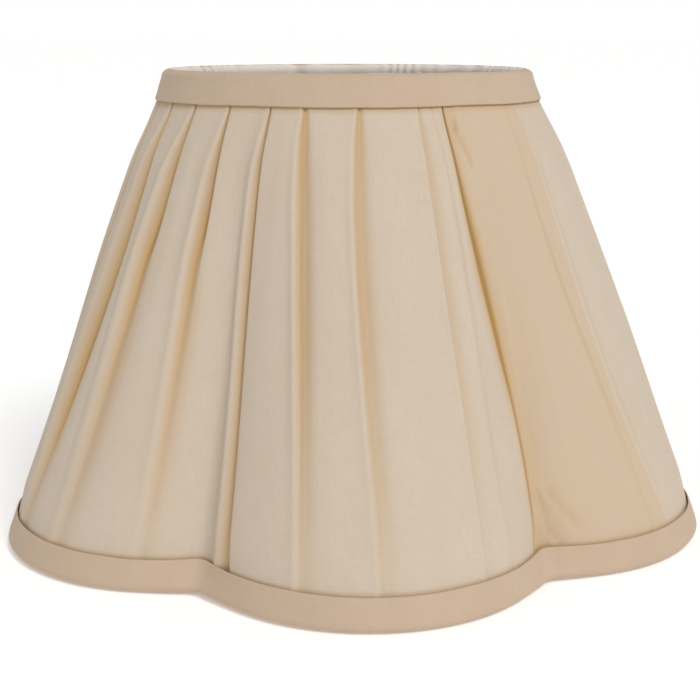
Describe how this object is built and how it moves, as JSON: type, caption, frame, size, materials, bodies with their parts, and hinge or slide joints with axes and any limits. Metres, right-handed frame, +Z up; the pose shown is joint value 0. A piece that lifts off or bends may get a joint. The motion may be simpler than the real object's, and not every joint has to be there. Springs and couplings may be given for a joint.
{
  "type": "lamp shade",
  "caption": "Scalloped empire lamp shade: pleated fabric over a wire frame with a dropped lamp holder ring, lined inside and bound at both edges.",
  "frame": {"origin": "on the shade's axis, level with the lowest edge of the bottom binding, which is what the shade stands on", "axes": "+Z up along the axis from the wide end to the narrow end; one of the six lobes points along -Y and one along +Y"},
  "size_m": [0.2404, 0.26, 0.157],
  "materials": {
    "frame_wire": "satin white coating on steel wire",
    "fitter_steel": "satin white coating on sheet steel",
    "lining_cotton": "ivory cotton, gathered over the top ring",
    "cover_cotton": "beige plain weave cotton, knife pleated",
    "binding_cotton": "beige plain weave cotton, folded strip"
  },
  "bodies": {
    "root": {"top_ring": "frame_wire", "bottom_ring": "frame_wire", "rib_1": "frame_wire", "rib_2": "frame_wire", "rib_3": "frame_wire", "rib_4": "frame_wire", "rib_5": "frame_wire", "rib_6": "frame_wire", "fitter_ring": "fitter_steel", "fitter_arm_1": "frame_wire", "fitter_arm_2": "frame_wire", "fitter_arm_3": "frame_wire", "lining": "lining_cotton", "pleated_cover": "cover_cotton", "top_binding": "binding_cotton", "bottom_binding": "binding_cotton"}
  },
  "joints": []
}
